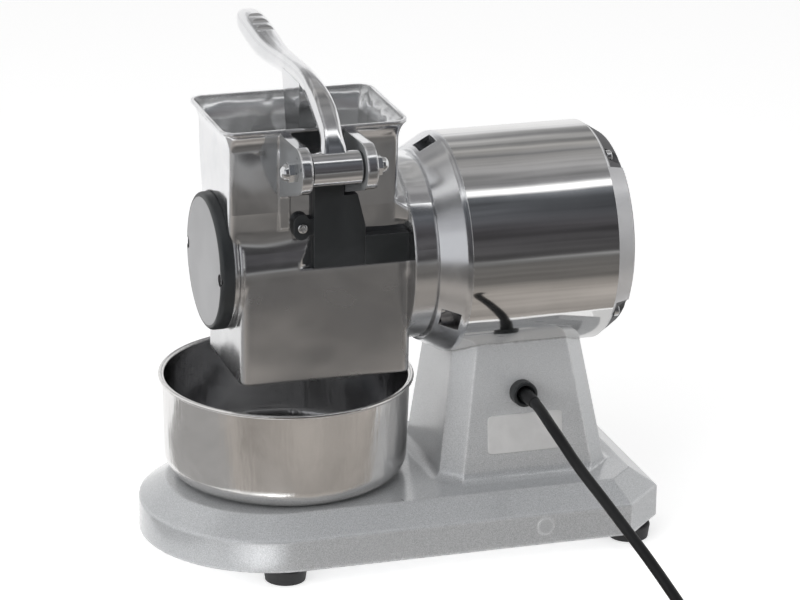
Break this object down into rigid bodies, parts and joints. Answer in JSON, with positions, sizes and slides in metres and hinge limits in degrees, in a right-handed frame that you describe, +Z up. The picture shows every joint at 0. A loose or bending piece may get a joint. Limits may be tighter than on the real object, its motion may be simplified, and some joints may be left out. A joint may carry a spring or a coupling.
{
  "type": "electric cheese grater",
  "caption": "Counter-top electric cheese grater: cast base with motor pedestal, motor in a polished sheath, hopper head with press lever, toothed drum and collecting bowl.",
  "frame": {"origin": "on the floor, under the middle of the machine without its mains cord", "axes": "+X along the motor axis from the end cap to the motor, +Y to the operator and the lever's grip, +Z up"},
  "size_m": [0.384, 0.6155, 0.3778],
  "materials": {
    "silver_paint": "fine textured silver paint",
    "polished_cast": "polished casting",
    "satin_cast": "satin turned casting",
    "polished_steel": "polished stainless sheet",
    "bowl_steel": "brushed stainless sheet",
    "zinc_steel": "bright zinc plated",
    "black_steel": "blackened",
    "bearing_steel": "ground",
    "lamination": "stacked lamination",
    "copper": "enamelled wire",
    "bronze": "sintered",
    "black_plastic": "fine grain",
    "black_rubber": "matt",
    "cord_rubber": "semi matt",
    "cap_plate": "satin disc",
    "green_button": "gloss",
    "red_button": "gloss",
    "grey_plastic": "plain"
  },
  "bodies": {
    "frame": {"base_casting": "silver_paint", "bottom_cover": "zinc_steel", "rubber_feet": "black_rubber", "foot_screws": "zinc_steel", "cable_gland": "black_plastic", "gland_nut": "black_plastic", "run_capacitor": "grey_plastic", "terminal_block": "grey_plastic", "switch_housing": "black_plastic", "head_casting": "polished_cast", "shaft_seal": "black_rubber", "end_cap": "black_plastic", "cap_disc": "cap_plate", "cap_screws": "black_steel", "end_bush": "bronze", "front_bearing_outer": "bearing_steel", "rear_bearing_outer": "bearing_steel", "front_bell": "satin_cast", "bell_screws": "zinc_steel", "motor_sheath": "polished_steel", "stator_core": "lamination", "stator_windings": "copper", "rear_shield": "satin_cast", "rear_cap": "satin_cast", "tie_rods": "zinc_steel", "hinge_pin": "zinc_steel", "hinge_washers": "black_plastic", "hinge_nuts": "zinc_steel", "switch_cover": "black_plastic", "cover_screw": "zinc_steel", "reed_sensor": "grey_plastic", "power_cord": "cord_rubber", "cord_coil": "cord_rubber", "plug_body": "black_plastic", "plug_pins": "bronze"},
    "lever": {"press_lever": "polished_cast", "lever_magnet": "bearing_steel", "presser_plate": "polished_cast", "presser_screws": "zinc_steel"},
    "rotor": {"grating_drum": "polished_steel", "drum_hubs": "satin_cast", "drum_key": "zinc_steel", "motor_shaft": "bearing_steel", "rotor_core": "lamination", "front_bearing_inner": "bearing_steel", "rear_bearing_inner": "bearing_steel", "cooling_fan": "grey_plastic"},
    "bowl": {"collecting_bowl": "bowl_steel"},
    "start": {"start_button": "green_button"},
    "stop": {"stop_button": "red_button"}
  },
  "joints": [
    {"name": "lever_hinge", "type": "hinge", "parent": "frame", "child": "lever", "pos_m": [-0.0725, -0.112, 0.3193], "axis": [1, 0, 0], "range_deg": [0, 105]},
    {"name": "drum_spin", "type": "hinge", "parent": "frame", "child": "rotor", "pos_m": [0, -0.023, 0.2275], "axis": [1, 0, 0], "continuous": true},
    {"name": "bowl_slide", "type": "slide", "parent": "frame", "child": "bowl", "axis": [-1, 0, 0], "range_m": [0, 0.21]},
    {"name": "start_press", "type": "slide", "parent": "frame", "child": "start", "axis": [0, -0.9959, -0.0901], "range_m": [0, 0.003], "stiffness_N_per_m": 300},
    {"name": "stop_press", "type": "slide", "parent": "frame", "child": "stop", "axis": [0, -0.9959, -0.0901], "range_m": [0, 0.003], "stiffness_N_per_m": 300}
  ]
}
